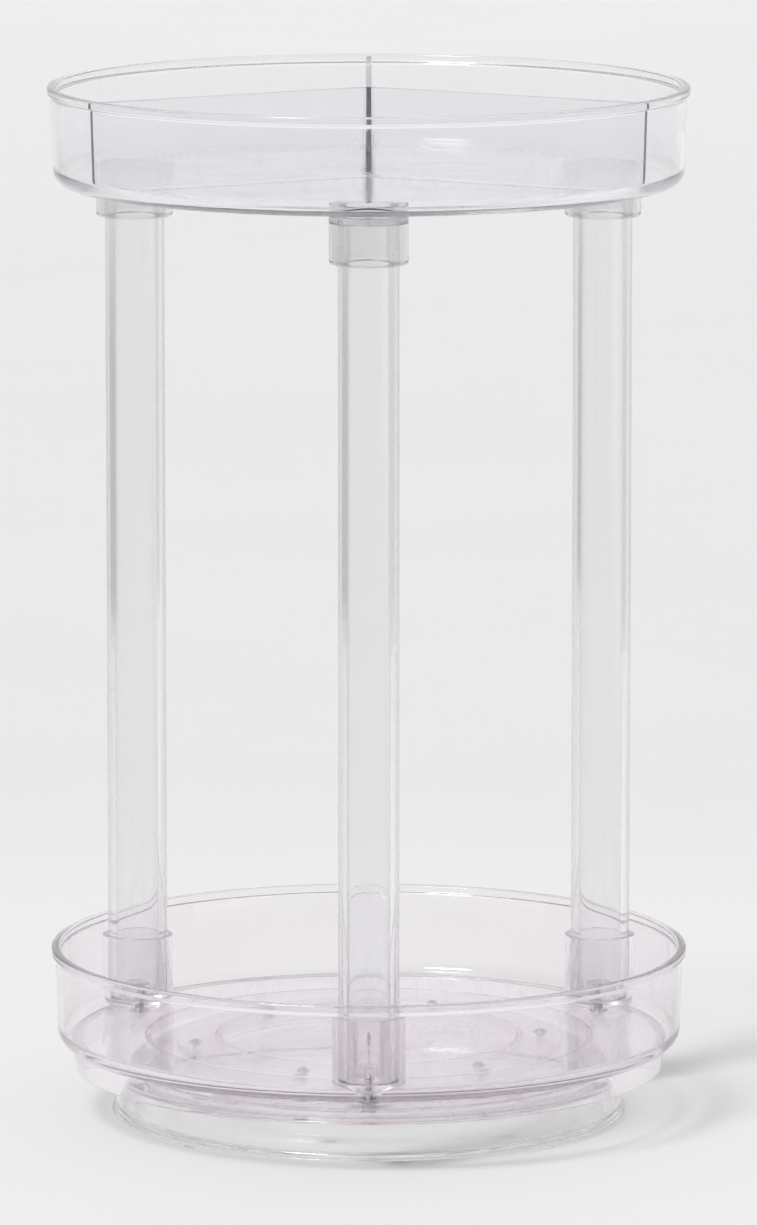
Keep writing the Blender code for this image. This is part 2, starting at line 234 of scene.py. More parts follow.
# Slow waves that a moulding keeps: coarse noise for the flow and finer noise for the skin,
# added together. Smudge is a soft cloud raised to a power, so only patches of it show.
def buildMouldSkin():
    ins = {"Flow Scale": 30.0, "Flow": 1.0, "Skin Scale": 300.0, "Skin": 0.1, "Smudge Scale": 22.0}
    group, entry, leave = newGroup("mouldSkin", ins, ["Height", "Smudge"])
    flow = addNode(group, "ShaderNodeTexNoise", {"Detail": 1.5, "Roughness": 0.4})
    skin = addNode(group, "ShaderNodeTexNoise", {"Detail": 2.0, "Roughness": 0.5})
    cloud = addNode(group, "ShaderNodeTexNoise", {"Detail": 4.0, "Roughness": 0.62})
    for node, scale in ((flow, "Flow Scale"), (skin, "Skin Scale"), (cloud, "Smudge Scale")):
        group.links.new(entry.outputs["Vector"], node.inputs["Vector"])
        group.links.new(entry.outputs[scale], node.inputs["Scale"])
    slow = mathNode(group, "MULTIPLY", flow.outputs["Fac"], entry.outputs["Flow"])
    fine = mathNode(group, "MULTIPLY", skin.outputs["Fac"], entry.outputs["Skin"])
    group.links.new(mathNode(group, "ADD", slow, fine), leave.inputs["Height"])
    patch = mathNode(group, "POWER", cloud.outputs["Fac"], 3.0)
    lifted = mathNode(group, "MULTIPLY", patch, 4.0, clamp=True)
    group.links.new(lifted, leave.inputs["Smudge"])
    return group


# Hairline scratches: noise drawn out some thirtyfold along one direction, kept only near its
# middle value, in two directions that cross.
def buildHairlines():
    group, entry, leave = newGroup("hairlines", {"Scale": 40.0, "Width": 0.012}, ["Mask"])
    lines = []
    for turn in (0.35, 1.9):
        mapping = addNode(group, "ShaderNodeMapping")
        mapping.inputs["Rotation"].default_value = (0.3 * turn, 0.2, turn)
        mapping.inputs["Scale"].default_value = (1.0, 0.03, 0.2)
        group.links.new(entry.outputs["Vector"], mapping.inputs["Vector"])
        noise = addNode(group, "ShaderNodeTexNoise", {"Detail": 3.0, "Roughness": 0.7})
        group.links.new(mapping.outputs[0], noise.inputs["Vector"])
        group.links.new(entry.outputs["Scale"], noise.inputs["Scale"])
        offset = mathNode(group, "SUBTRACT", noise.outputs["Fac"], 0.5)
        near = mathNode(group, "ABSOLUTE", offset)
        lines.append(mathNode(group, "LESS_THAN", near, entry.outputs["Width"]))
    group.links.new(mathNode(group, "MAXIMUM", *lines), leave.inputs["Mask"])
    return group


# Dust: the distance to scattered points is kept where it is under the grain's size, and a
# coarse noise leaves some places cleaner than others.
def buildDust():
    group, entry, leave = newGroup("dust", {"Scale": 260.0, "Grain": 0.10}, ["Mask"])
    points = addNode(group, "ShaderNodeTexVoronoi", {"Randomness": 1.0})
    clouds = addNode(group, "ShaderNodeTexNoise", {"Scale": 14.0, "Detail": 2.0})
    group.links.new(entry.outputs["Vector"], points.inputs["Vector"])
    group.links.new(entry.outputs["Vector"], clouds.inputs["Vector"])
    group.links.new(entry.outputs["Scale"], points.inputs["Scale"])
    grain = mathNode(group, "LESS_THAN", points.outputs["Distance"], entry.outputs["Grain"])
    place = mathNode(group, "GREATER_THAN", clouds.outputs["Fac"], 0.5)
    group.links.new(mathNode(group, "MULTIPLY", grain, place), leave.inputs["Mask"])
    return group


mouldSkin = buildMouldSkin()
hairlines = buildHairlines()
dust = buildDust()
print("shader groups built")


# ---- materials


# A material with its tree, its shader and the object's own coordinates.
def newMaterial(name):
    material = bpy.data.materials.new(name)
    material.use_nodes = True
    tree = material.node_tree
    coordinates = tree.nodes.new("ShaderNodeTexCoord")
    return material, tree, tree.nodes["Principled BSDF"], coordinates.outputs["Object"]


def placeGroup(tree, group, vector, values):
    node = tree.nodes.new("ShaderNodeGroup")
    node.node_tree = group
    for key, value in values.items():
        node.inputs[key].default_value = value
    tree.links.new(vector, node.inputs["Vector"])
    return node


# The shader's normal follows a height.
def addBump(tree, shader, height, strength, distance):
    bump = addNode(tree, "ShaderNodeBump", {"Strength": strength, "Distance": distance})
    tree.links.new(height, bump.inputs["Height"])
    tree.links.new(bump.outputs[0], shader.inputs["Normal"])


# Clear plastic. The volume takes light out by depth, and each face's colour darkens to the
# painted edge shade where it is seen edge on: painted shade for the dark outlines of clear
# edges. A look with a painted foot shade has that darker colour below the foot's top: painted
# shade under the tray. Light on its way to the floor passes straight through with a thin
# shadow, which is deeper where it crosses a face at a slant.
def clearPlastic(name, look):
    material, tree, shader, plain = newMaterial(name)
    output = tree.nodes["Material Output"]
    mapping = addNode(tree, "ShaderNodeMapping", {"Scale": look["stretch"]})
    tree.links.new(plain, mapping.inputs["Vector"])
    skinValues = {"Flow Scale": look["flowScale"], "Flow": look["flow"], "Smudge Scale": 24.0}
    skinValues |= {"Skin Scale": look["skinScale"], "Skin": look["skin"]}
    skin = placeGroup(tree, mouldSkin, mapping.outputs[0], skinValues)
    scratches = placeGroup(tree, hairlines, plain, {"Scale": 45.0, "Width": look["scratch"]})
    grains = placeGroup(tree, dust, plain, {"Scale": 240.0, "Grain": look["dust"]})

    smudged = mathNode(tree, "MULTIPLY", skin.outputs["Smudge"], look["smudge"])
    scratched = mathNode(tree, "MULTIPLY", scratches.outputs["Mask"], 0.10)
    dusted = mathNode(tree, "MULTIPLY", grains.outputs["Mask"], 0.25)
    rough = mathNode(tree, "ADD", smudged, look["roughness"])
    rough = mathNode(tree, "ADD", rough, scratched)
    tree.links.new(mathNode(tree, "ADD", rough, dusted), shader.inputs["Roughness"])

    addBump(tree, shader, skin.outputs["Height"], 1.0, look["wave"])

    # Painted shade: the colour darkens towards the edge shade where a face is seen edge on.
    facing = addNode(tree, "ShaderNodeLayerWeight", {"Blend": 0.5})
    edge = mathNode(tree, "POWER", facing.outputs["Facing"], look["edgePower"])
    tint = mixNode(tree, edge, look["tint"], look["paintedEdgeShade"])
    shader.inputs["Transmission Weight"].default_value = 1.0
    shader.inputs["IOR"].default_value = look["ior"]

    # The skirt and ribs are painted darker below the foot's top: painted shade under the tray.
    if "paintedFootShade" in look:  # skirt and ribs
        parts = tree.nodes.new("ShaderNodeSeparateXYZ")
        tree.links.new(plain, parts.inputs[0])
        low = rangeNode(tree, parts.outputs["Z"], (look["footTop"], look["footTop"] - 0.0015))
        tint = mixNode(tree, low, tint, look["paintedFootShade"])
    tree.links.new(tint, shader.inputs["Base Color"])

    absorb = tree.nodes.new("ShaderNodeVolumeAbsorption")
    absorb.inputs["Color"].default_value = (*look["body"], 1.0)
    absorb.inputs["Density"].default_value = look["density"]
    tree.links.new(absorb.outputs[0], output.inputs["Volume"])

    slanting = mathNode(tree, "POWER", facing.outputs["Facing"], look["shadowPower"])
    shade = mixNode(tree, slanting, look["shadow"], look["shadowEdge"])
    passing = tree.nodes.new("ShaderNodeBsdfTransparent")
    tree.links.new(shade, passing.inputs["Color"])
    lightPath = tree.nodes.new("ShaderNodeLightPath")
    either = tree.nodes.new("ShaderNodeMixShader")
    straight = mathNode(
        tree, "MAXIMUM", lightPath.outputs["Is Shadow Ray"], lightPath.outputs["Is Diffuse Ray"]
    )
    tree.links.new(straight, either.inputs[0])
    tree.links.new(shader.outputs[0], either.inputs[1])
    tree.links.new(passing.outputs[0], either.inputs[2])
    tree.links.new(either.outputs[0], output.inputs["Surface"])
    return material


trayLook = {
    "ior": 1.49,
    "roughness": 0.010,
    "smudge": 0.03,
    "scratch": 0.003,
    "dust": 0.04,
    "stretch": (1.0, 1.0, 1.0),
    "flowScale": 26.0,
    "flow": 1.0,
    "skinScale": 160.0,
    "skin": 0.04,
    "wave": 0.00013,
    "tint": (0.982, 0.98, 0.995),
    # The edge colour and its power are painted shade for faces seen edge on.
    "paintedEdgeShade": (0.80, 0.79, 0.81),
    "edgePower": 16.0,
    "body": (0.50, 0.46, 0.54),
    "density": 4.0,
    "shadow": (0.99, 0.99, 0.99),
    "shadowEdge": (0.48, 0.48, 0.48),
    "shadowPower": 3.0,
}
lowerTrayLook = dict(
    trayLook,
    tint=(0.990, 0.968, 0.988),
    body=(0.58, 0.44, 0.58),
    density=6.0,
    paintedEdgeShade=(0.60, 0.58, 0.61),
    edgePower=9.0,
    # Painted shade: skirt and ribs darker, for the shade under the tray.
    paintedFootShade=(0.965, 0.935, 0.965),
    footTop=0.0272,
    shadowEdge=(0.62, 0.61, 0.62),
)
wallLook = dict(trayLook, body=(0.50, 0.50, 0.52), density=30.0)
tubeLook = dict(
    trayLook,
    stretch=(1.0, 1.0, 0.03),
    flowScale=190.0,
    flow=0.5,
    wave=0.00010,
    tint=(0.98, 0.98, 0.985),
    paintedEdgeShade=(0.50, 0.49, 0.51),
    body=(0.50, 0.49, 0.51),
    density=18.0,
    edgePower=3.0,
    shadow=(0.95, 0.95, 0.95),
    shadowEdge=(0.50, 0.50, 0.50),
    shadowPower=2.5,
)
socketLook = dict(trayLook, tint=(0.978, 0.957, 0.975), density=6.0, edgePower=9.0)
capLook = dict(
    trayLook, tint=(0.965, 0.965, 0.968), body=(0.50, 0.49, 0.51), density=30.0, edgePower=5.0
)
baseLook = dict(
    trayLook,
    tint=(0.980, 0.975, 0.980),
    paintedEdgeShade=(0.55, 0.55, 0.56),
    edgePower=8.0,
    density=3.0,
    shadowEdge=(0.60, 0.60, 0.60),
)


# Bright steel: hairlines and smudges change the shine and stand a little off the surface.
def brightSteel(name, look):
    material, tree, shader, plain = newMaterial(name)
    skinValues = {"Flow Scale": 90.0, "Flow": 0.3, "Skin Scale": 1200.0, "Skin": 0.4}
    skin = placeGroup(tree, mouldSkin, plain, skinValues)
    lines = placeGroup(tree, hairlines, plain, {"Scale": 400.0, "Width": look["scratch"]})
    tone = mixNode(tree, skin.outputs["Smudge"], look["bright"], look["dull"])
    tree.links.new(tone, shader.inputs["Base Color"])
    shader.inputs["Metallic"].default_value = 1.0
    smudged = mathNode(tree, "MULTIPLY", skin.outputs["Smudge"], 0.15)
    scratched = mathNode(tree, "MULTIPLY", lines.outputs["Mask"], 0.2)
    rough = mathNode(tree, "ADD", smudged, look["roughness"])
    tree.links.new(mathNode(tree, "ADD", rough, scratched), shader.inputs["Roughness"])
    height = mathNode(tree, "ADD", skin.outputs["Height"], lines.outputs["Mask"])
    addBump(tree, shader, height, 0.4, 0.00003)
    return material


# Painted shade: the balls' steel is far darker than bright steel, so that they read as dark dots
# under the tray instead of mirroring the bright floor.
shadedBallLook = {
    "bright": (0.17, 0.155, 0.17),
    "dull": (0.12, 0.11, 0.125),
    "roughness": 0.12,
    "scratch": 0.01,
}
screwLook = dict(shadedBallLook, bright=(0.60, 0.60, 0.61), dull=(0.42, 0.42, 0.44), roughness=0.24)


# Milky plastic: it lets a little light through, and a fine grain breaks the shine.
def milkyPlastic(name, look):
    material, tree, shader, plain = newMaterial(name)
    skinValues = {"Flow Scale": 120.0, "Flow": 0.4, "Skin Scale": 2200.0, "Skin": 0.5}
    skin = placeGroup(tree, mouldSkin, plain, skinValues)
    grains = placeGroup(tree, dust, plain, {"Scale": 700.0, "Grain": look["dust"]})
    patch = mathNode(tree, "MAXIMUM", skin.outputs["Smudge"], grains.outputs["Mask"])
    tone = mixNode(tree, patch, look["colour"], look["worn"])
    tree.links.new(tone, shader.inputs["Base Color"])
    shader.inputs["Transmission Weight"].default_value = look["clear"]
    shader.inputs["IOR"].default_value = look["ior"]
    smudged = mathNode(tree, "MULTIPLY", skin.outputs["Smudge"], 0.12)
    tree.links.new(mathNode(tree, "ADD", smudged, look["roughness"]), shader.inputs["Roughness"])
    addBump(tree, shader, skin.outputs["Height"], 0.5, 0.00004)
    return material


nylonLook = {
    "colour": (0.80, 0.79, 0.74),
    "worn": (0.66, 0.65, 0.60),
    "roughness": 0.42,
    "clear": 0.15,
    "ior": 1.53,
    "dust": 0.08,
}
siliconeLook = dict(
    trayLook,
    ior=1.41,
    roughness=0.16,
    dust=0.08,
    flowScale=120.0,
    tint=(0.95, 0.95, 0.96),
    density=10.0,
    shadowEdge=(0.85, 0.85, 0.85),
)

trayPlastic = clearPlastic("upperTrayPlastic", trayLook)
lowerTrayPlastic = clearPlastic("lowerTrayPlastic", lowerTrayLook)
tubePlastic = clearPlastic("tubePlastic", tubeLook)
socketPlastic = clearPlastic("socketPlastic", socketLook)
capPlastic = clearPlastic("capPlastic", capLook)
wallPlastic = clearPlastic("wallPlastic", wallLook)
basePlastic = clearPlastic("basePlastic", baseLook)
shadedBallSteel = brightSteel("shadedBallSteel", shadedBallLook)
screwSteel = brightSteel("screwSteel", screwLook)
washerNylon = milkyPlastic("washerNylon", nylonLook)
padSilicone = clearPlastic("padSilicone", siliconeLook)
print("materials built")


# ---- trays

cup = {
    "rimRadius": 0.1175,
    "lipHeight": 0.0030,
    "lipRound": 0.0009,
    "lipFade": 0.0014,
    "wallTop": 0.1162,
    "wallFoot": 0.1152,
    "wall": 0.0019,
    "floor": 0.0027,
    "outerCorner": 0.0055,
    "innerCorner": 0.0040,
    "ringSteps": 240,
}


# The outside of a cup, down from the top of its lip to the corner of its underside.
def cupOutside(top, under):
    lip = top - cup["lipHeight"]
    return [
        (cup["rimRadius"], top, cup["lipRound"]),
        (cup["rimRadius"], lip + 0.0002, cup["lipRound"]),
        (cup["wallTop"], lip - 0.0006, cup["lipFade"]),
        (cup["wallFoot"], under, cup["outerCorner"]),
    ]


# The inside of a cup, out from its floor and up to the inner edge of its lip.
def cupInside(top, under):
    return [
        (cup["wallFoot"] - cup["wall"], under + cup["floor"], cup["innerCorner"]),
        (cup["wallTop"] - cup["wall"], top, 0.0009),
    ]


lowerTrayShape = {
    "skirtTop": 0.1102,
    "skirtFoot": 0.1085,
    "skirtWall": 0.0017,
    "skirtRoot": 0.0030,
    "ribs": (0.0820, 0.0560),
    "ribDepth": 0.0038,
    "ribWall": 0.0013,
    "hub": 0.0085,
    "hubDrop": 0.0025,
    "hubHole": 0.0031,
}


def buildLowerTray():
    shape = lowerTrayShape
    top, under = lowerRimHeight, lowerUnderHeight
    corners = cupOutside(top, under)
    corners += [
        (shape["skirtTop"], under, 0.0005),
        (shape["skirtFoot"], skirtFootHeight, 0.0005),
        (shape["skirtFoot"] - shape["skirtWall"], skirtFootHeight, 0.0005),
        (shape["skirtTop"] - shape["skirtRoot"], under, 0.0010),
    ]
    half = shape["ribWall"] / 2
    for radius in shape["ribs"]:
        foot = under - shape["ribDepth"]
        corners += [
            (radius + half, under, 0.0005),
            (radius + 0.8 * half, foot, 0.0003),
            (radius - 0.8 * half, foot, 0.0003),
            (radius - half, under, 0.0005),
        ]
    corners += [
        (shape["hub"], under, 0.0006),
        (shape["hub"], under - shape["hubDrop"], 0.0004),
        (shape["hubHole"], under - shape["hubDrop"], 0.0003),
        (shape["hubHole"], under + cup["floor"], 0.0003),
    ]
    corners += cupInside(top, under)
    tray = turnedBody("lowerTray", corners, True, cup["ringSteps"])
    finishPiece(tray, lowerTrayPlastic, "turntable", "clear_plastic", "lower_tray")


def buildUpperTray():
    top, under = upperRimHeight, upperUnderHeight
    corners = [(0.0, under + cup["floor"], 0.0)] + cupInside(top, under)
    corners += cupOutside(top, under) + [(0.0, under, 0.0)]
    tray = turnedBody("upperTray", corners, False, cup["ringSteps"])
    finishPiece(tray, trayPlastic, "turntable", "clear_plastic", "upper_tray")


buildLowerTray()
buildUpperTray()
print("trays built")


# ---- dividers

divider = {
    "angles": (90.0, 210.0, 330.0),
    "half": 0.0011,
    "gap": 0.0003,
    "drop": 0.0008,
    "filletFoot": 0.0040,
    "filletTop": 0.0022,
    "tipDepth": 0.0003,
    "edge": 0.0005,
}


# How far a wall reaches at a height h above the floor: the tray wall's radius, less the gap,
# and near the floor less what the tray's corner arc takes away.
def dividerReach(height):
    wallFoot = cup["wallFoot"] - cup["wall"] - divider["gap"]
    wallTop = cup["wallTop"] - cup["wall"] - divider["gap"]
    share = np.clip(height / (trayDepth - cup["floor"]), 0, 1)
    reach = wallFoot + (wallTop - wallFoot) * share
    corner = cup["innerCorner"]
    inside = np.clip(corner - height, 0, corner)
    return reach - (corner - np.sqrt(corner**2 - inside**2))


# Three walls in one skin. Each has a spine from the middle to near its tip. The outline
# stands off the spine by half the wall, turns round the tip in a shallow half ellipse, and
# meets its neighbour in a fillet whose radius shrinks with height. Rows of the outline are
# stacked in height, and the foot and the top close by drawing the outline in to the spine.
def buildDividerInsert():
    low = upperUnderHeight + cup["floor"] + divider["gap"]
    high = upperRimHeight - divider["drop"]
    half, edge = divider["half"], divider["edge"]
    bend = np.linspace(0, pi / 2, 5)
    foot = np.stack([1 - (edge / half) * (1 - np.sin(bend)), low + edge * (1 - np.cos(bend))], -1)
    body = np.stack([np.ones(14), np.linspace(low + edge, high - edge, 14)], -1)[1:-1]
    fall = high - edge * (1 - np.sin(bend))
    crown = np.stack([1 - (edge / half) * (1 - np.cos(bend)), fall], -1)
    rows = np.vstack([[[0.0, low], [0.25, low]], foot, body, crown, [[0.25, high], [0.0, high]]])
    rows = rows[::-1]
    width, height = rows[:, :1], rows[:, 1:]
    reach = dividerReach(height - low)
    share = (height - low) / (high - low)
    fillet = divider["filletFoot"] + (divider["filletTop"] - divider["filletFoot"]) * share

    root = half / tan(pi / 3) + fillet * tan(pi / 6)
    turn = np.linspace(0, pi / 6, 6)[None]
    centreDistance = (half + fillet) / sin(pi / 3)
    arcAlong = centreDistance * cos(pi / 3) - fillet * np.cos(pi / 3 + turn)
    arcSide = -centreDistance * sin(pi / 3) + fillet * np.sin(pi / 3 + turn)
    arcSpine = root * np.linspace(0, 1, 6)[None]
    run = 0.5 - 0.5 * np.cos(np.linspace(0, pi, 16))[None, 1:]
    tip = reach - divider["tipDepth"]
    straightSpine = root + (tip - root) * run
    around = np.linspace(-pi / 2, pi / 2, 9)[None, 1:-1]
    tipSpine = np.broadcast_to(tip, (len(rows), around.size))

    spine = np.hstack([arcSpine, straightSpine, tipSpine])
    along = np.hstack([arcAlong, straightSpine, tipSpine + divider["tipDepth"] * np.cos(around)])
    flat = np.full_like(straightSpine, -half)
    rounded = np.broadcast_to(half * np.sin(around), tipSpine.shape)
    side = np.hstack([arcSide, flat, rounded])
    back = slice(-around.size - 1, 0, -1)
    spine = np.hstack([spine, spine[:, back]])
    along = np.hstack([along, along[:, back]])
    side = np.hstack([side, -side[:, back]])
    along = spine + (along - spine) * width
    side = side * width
    parts = []
    for angle in np.radians(divider["angles"]):
        x = along * cos(angle) - side * sin(angle)
        y = along * sin(angle) + side * cos(angle)
        parts.append(np.stack([x, y, np.broadcast_to(height, x.shape)], -1))
    insert = skinRings("dividerInsert", np.concatenate(parts, 1))
    closeSeams(insert, 0.000004)
    insert.modifiers.new("flatNormals", "WEIGHTED_NORMAL")
    finishPiece(insert, wallPlastic, "turntable", "clear_plastic", "divider_insert")


# Points that meet are merged, slivers go, and all faces are turned outwards.
def closeSeams(piece, distance):
    shape = bmesh.new()
    shape.from_mesh(piece.data)
    bmesh.ops.remove_doubles(shape, verts=shape.verts, dist=distance)
    bmesh.ops.dissolve_degenerate(shape, edges=shape.edges, dist=distance / 4)
    bmesh.ops.recalc_face_normals(shape, faces=shape.faces)
    shape.to_mesh(piece.data)
    shape.free()


buildDividerInsert()
print("divider built")


# ---- posts and sockets

post = {"radius": 0.0110, "bore": 0.0080, "edge": 0.0005, "ringSteps": 96}
socket = {
    "lowerRadius": 0.01325,
    "upperRadius": 0.01425,
    "bore": 0.0113,
    "end": 0.0025,
    "lowerCorner": 0.0025,
    "upperCorner": 0.0012,
    "wallReach": 0.1126,
    "bossRadius": 0.0050,
    "bossHeight": 0.0060,
    "screwHole": 0.0021,
    "ringSteps": 96,
}


def buildPosts():
    for number, centre in enumerate(postCentres, 1):
        low, high = heights(f"post_{number}")
        corners = [
            (post["radius"], high, post["edge"]),
            (post["radius"], low, post["edge"]),
            (post["bore"], low, post["edge"]),
            (post["bore"], high, post["edge"]),
        ]
        tube = turnedBody(f"postTube_{number}", corners, True, post["ringSteps"], centre)
        finishPiece(tube, tubePlastic, "turntable", "clear_plastic", f"post_{number}")


def buildUpperSockets():
    for number, centre in enumerate(postCentres, 1):
        low, high = heights(f"upper_socket_{number}")
        end = high - socket["end"]
        corners = [
            (0.0, high, 0.0),
            (socket["upperRadius"], high, 0.0003),
            (socket["upperRadius"], low, socket["upperCorner"]),
            (socket["bore"], low, 0.0004),
            (socket["bore"], end, 0.0006),
            (0.0, end, 0.0),
        ]
        cap = turnedBody(f"upperSocket_{number}", corners, False, socket["ringSteps"], centre)
        finishPiece(cap, capPlastic, "turntable", "clear_plastic", f"upper_socket_{number}")


# A turned cup whose far side is drawn in to a circle about the spindle, so that it follows
# the tray wall it stands against: a point beyond the reach is scaled back to it.
def buildLowerSockets():
    for number, centre in enumerate(postCentres, 1):
        low, high = heights(f"lower_socket_{number}")
        end = low + socket["end"]
        corners = [
            (socket["lowerRadius"], high, 0.0005),
            (socket["lowerRadius"], low, socket["lowerCorner"]),
            (socket["screwHole"], low, 0.0002),
            (socket["screwHole"], end + socket["bossHeight"], 0.0004),
            (socket["bossRadius"], end + socket["bossHeight"], 0.0006),
            (socket["bossRadius"], end, 0.0006),
            (socket["bore"], end, 0.0006),
            (socket["bore"], high, 0.0004),
        ]
        holder = turnedBody(f"lowerSocket_{number}", corners, True, socket["ringSteps"], centre)
        mesh = holder.data
        points = np.empty(len(mesh.vertices) * 3)
        mesh.vertices.foreach_get("co", points)
        points = points.reshape(-1, 3)
        distance = np.hypot(points[:, 0], points[:, 1])
        points[:, :2] *= np.minimum(1, socket["wallReach"] / distance)[:, None]
        mesh.vertices.foreach_set("co", points.ravel())
        mesh.update()
        finishPiece(holder, socketPlastic, "turntable", "clear_plastic", f"lower_socket_{number}")


buildPosts()
buildUpperSockets()
buildLowerSockets()
print("posts and sockets built")


# ---- base

baseShape = {
    "footRadius": 0.0955,
    "topRadius": 0.0885,
    "topHeight": 0.0175,
    "wall": 0.0022,
    "edge": 0.0015,
    "trackInner": 0.0574,
    "trackOuter": 0.0808,
    "trackHeight": 0.02184,
    "hub": 0.0085,
    "hubHole": 0.0031,
    "hubFoot": 0.0120,
    "flangeInner": 0.0858,
    "flangeThickness": 0.0016,
    "ringSteps": 240,
}


def buildBase():
    shape = baseShape
    low, high = heights("base")
    wall = shape["wall"]
    plateUnder = shape["topHeight"] - wall
    trackUnder = shape["trackHeight"] - wall
    flangeTop = low + shape["flangeThickness"]
    corners = [
        (shape["hubHole"], high, 0.0003),
        (shape["hub"], high, 0.0004),
        (shape["hub"], shape["topHeight"], 0.0008),
        (shape["trackInner"], shape["topHeight"], 0.0008),
        (shape["trackInner"], shape["trackHeight"], 0.0004),
        (shape["trackOuter"], shape["trackHeight"], 0.0004),
        (shape["trackOuter"], shape["topHeight"], 0.0008),
        (shape["topRadius"], shape["topHeight"], shape["edge"]),
        (shape["footRadius"], low, 0.0006),
        (shape["flangeInner"], low, 0.0005),
        (shape["flangeInner"], flangeTop, 0.0005),
        (shape["footRadius"] - 1.3 * wall, flangeTop, 0.0008),
        (shape["topRadius"] - wall, plateUnder, 0.0010),
        (shape["trackOuter"] - wall, plateUnder, 0.0008),
        (shape["trackOuter"] - wall, trackUnder, 0.0008),
        (shape["trackInner"] + wall, trackUnder, 0.0008),
        (shape["trackInner"] + wall, plateUnder, 0.0008),
        (shape["hub"] - 0.0003, plateUnder, 0.0006),
        (shape["hub"] - 0.0003, shape["hubFoot"], 0.0003),
        (shape["hubHole"], shape["hubFoot"], 0.0003),
    ]
    dish = turnedBody("baseDish", corners, True, shape["ringSteps"])
    finishPiece(dish, basePlastic, "base_group", "clear_plastic", "base")


def buildPads():
    for number in (1, 2, 3, 4):
        low, high = boxCorners(f"foot_pad_{number}")
        centre = (low + high)[:2] / 2
        radius = (high - low)[0] / 2
        corners = [
            (0.0, high[2], 0.0),
            (radius, high[2], 0.0001),
            (radius, low[2], 0.0005),
            (0.0, low[2], 0.0),
        ]
        pad = turnedBody(f"footPad_{number}", corners, False, 48, centre)
        finishPiece(pad, padSilicone, "base_group", "frosted_silicone", f"foot_pad_{number}")


buildBase()
buildPads()
print("base built")


# ---- ball race

race = {"innerRadius": 0.0576, "outerRadius": 0.0714, "pocket": 0.0027, "thickness": 0.0020}


# One sixth of the cage is a sheet between a round window and the sector's edge. The window
# and the edge are walked together, and points between them are straight mixes of the two in
# angle and radius. Solidify gives the sheet its thickness.
def buildCage():
    ballPlaces = [np.array(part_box(f"ball_{k}")) for k in range(1, 7)]
    low, high = heights("ball_cage")
    depth = (race["outerRadius"] - race["innerRadius"]) / 2
    middle = (race["outerRadius"] + race["innerRadius"]) / 2
    longSide = np.linspace(-1, 1, 25)
    shortSide = np.linspace(-1, 1, 9)
    turnShare = np.concatenate([longSide[:-1], np.ones(8), longSide[:0:-1], -np.ones(8)])
    depthShare = np.concatenate([np.ones(24), shortSide[:0:-1], -np.ones(24), shortSide[:-1]])
    toward = np.arctan2(turnShare, depthShare)
    windowTurn = race["pocket"] * np.sin(toward) / middle
    sheets = []
    for ball in ballPlaces:
        centre = ball.mean(0)
        ballTurn = np.arctan2(centre[1], centre[0])
        ballRadius = np.hypot(centre[0], centre[1])
        windowRadius = ballRadius + race["pocket"] * np.cos(toward)
        edgeTurn = turnShare * pi / 6
        edgeRadius = middle + depth * depthShare
        share = np.array([0.0, 0.12, 0.3, 0.55, 0.8, 1.0])[:, None]
        turn = ballTurn + windowTurn + (edgeTurn - windowTurn) * share
        radius = windowRadius + (edgeRadius - windowRadius) * share
        height = np.full_like(turn, (low + high) / 2)
        sheets.append(np.stack([radius * np.cos(turn), radius * np.sin(turn), height], -1))
    ringCount, rowCount = sheets[0].shape[1], sheets[0].shape[0]
    index = np.arange(ringCount * rowCount).reshape(rowCount, ringCount)
    quads = ringFaces(index[:-1], index[1:])
    faces = np.concatenate([quads + k * index.size for k in range(6)])
    mesh = bpy.data.meshes.new("ballCage")
    points = np.concatenate([sheet.reshape(-1, 3) for sheet in sheets])
    mesh.from_pydata(points.tolist(), [], faces.tolist())
    mesh.shade_smooth()
    cage = addPiece("ballCage", mesh)
    closeSeams(cage, 0.00001)
    thick = cage.modifiers.new("thickness", "SOLIDIFY")
    thick.thickness = race["thickness"]
    thick.offset = 0.0
    thick.use_even_offset = True
    soften = cage.modifiers.new("softEdge", "BEVEL")
    soften.width = 0.0002
    soften.segments = 2
    soften.limit_method = "ANGLE"
    cage.modifiers.new("flatNormals", "WEIGHTED_NORMAL")
    finishPiece(cage, basePlastic, "cage", "clear_plastic", "ball_cage")


# A ball: the height is the radius times the cosine of the angle down from the top, and each
# ring's radius is the radius times its sine.
def buildBalls():
    down = np.linspace(0, pi, 25)[1:-1]
    angle = np.linspace(0, 2 * pi, 40, endpoint=False)
    spokes = np.stack([np.cos(angle), np.sin(angle)], -1)
    normals = spinRows(np.stack([np.sin(down), np.cos(down)], -1), spokes)
    for number in range(1, 7):
        low, high = boxCorners(f"ball_{number}")
        centre, radius = (low + high) / 2, (high - low)[2] / 2
        poles = centre + np.array([[0, 0, radius], [0, 0, -radius]])
        poleNormals = [(0, 0, 1), (0, 0, -1)]
        rings = centre + radius * normals
        ball = skinRings(f"ball_{number}_steel", rings, normals, False, poles, poleNormals)
        finishPiece(ball, shadedBallSteel, f"roller_{number}", "bright_steel", f"ball_{number}")


buildCage()
buildBalls()
print("ball race built")


# ---- spindle and screws

spindle = {"shank": 0.0028, "head": 0.0062, "socketRadius": 0.0016, "socketDepth": 0.0006}
nutShape = {"clearance": 0.0003, "chamferStart": 0.97, "chamferSlope": 1.7, "ringSteps": 144}


